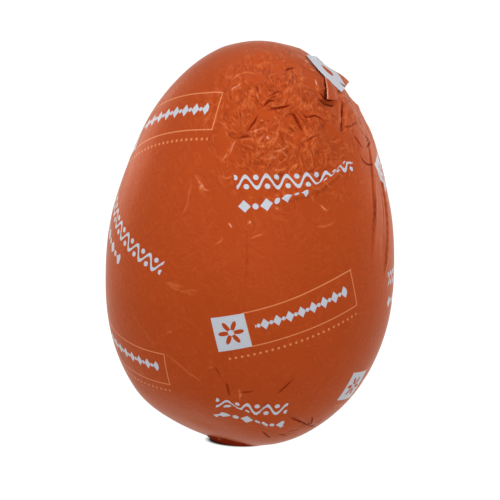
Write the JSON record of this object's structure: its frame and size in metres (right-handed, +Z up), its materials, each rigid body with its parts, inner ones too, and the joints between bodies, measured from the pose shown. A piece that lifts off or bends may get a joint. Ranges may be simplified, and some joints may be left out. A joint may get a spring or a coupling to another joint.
{
  "type": "foil-wrapped chocolate egg",
  "caption": "Upright chocolate egg closed in printed foil, with its slack gathered high on one side and a small flat to stand on.",
  "frame": {"origin": "middle of the small flat that the egg stands on", "axes": "+Z up along the egg's axis to its narrow end; -Y towards the smooth front of the foil; +X towards the gathered side"},
  "size_m": [0.0599, 0.06, 0.084],
  "materials": {
    "printed_foil": "satin"
  },
  "bodies": {
    "root": {"foil_wrapped_egg": "printed_foil"}
  },
  "joints": []
}
